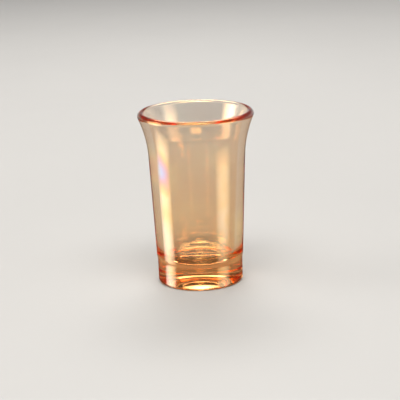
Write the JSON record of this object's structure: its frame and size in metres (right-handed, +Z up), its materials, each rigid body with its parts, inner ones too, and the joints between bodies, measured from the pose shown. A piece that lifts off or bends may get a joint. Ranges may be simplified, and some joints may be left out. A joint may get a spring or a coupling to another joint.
{
  "type": "shot glass",
  "caption": "Amber-tinted shot glass with a rounded lip, flared mouth, tapered wall, thick solid base, and a straight foot with a shallow domed recess under it.",
  "frame": {"origin": "centre of the foot, on the plane that the glass stands on", "axes": "+Z up along the glass's axis of revolution; X and Y are across it and interchangeable"},
  "size_m": [0.0464, 0.0464, 0.07],
  "materials": {
    "tinted_glass": "polished clear glass, amber-orange through its thickness and deeper at its edges, with a faint iridescent lustre"
  },
  "bodies": {
    "root": {"drinking_lip": "tinted_glass", "flared_mouth": "tinted_glass", "tapered_wall": "tinted_glass", "thick_base": "tinted_glass", "recessed_foot": "tinted_glass"}
  },
  "joints": []
}
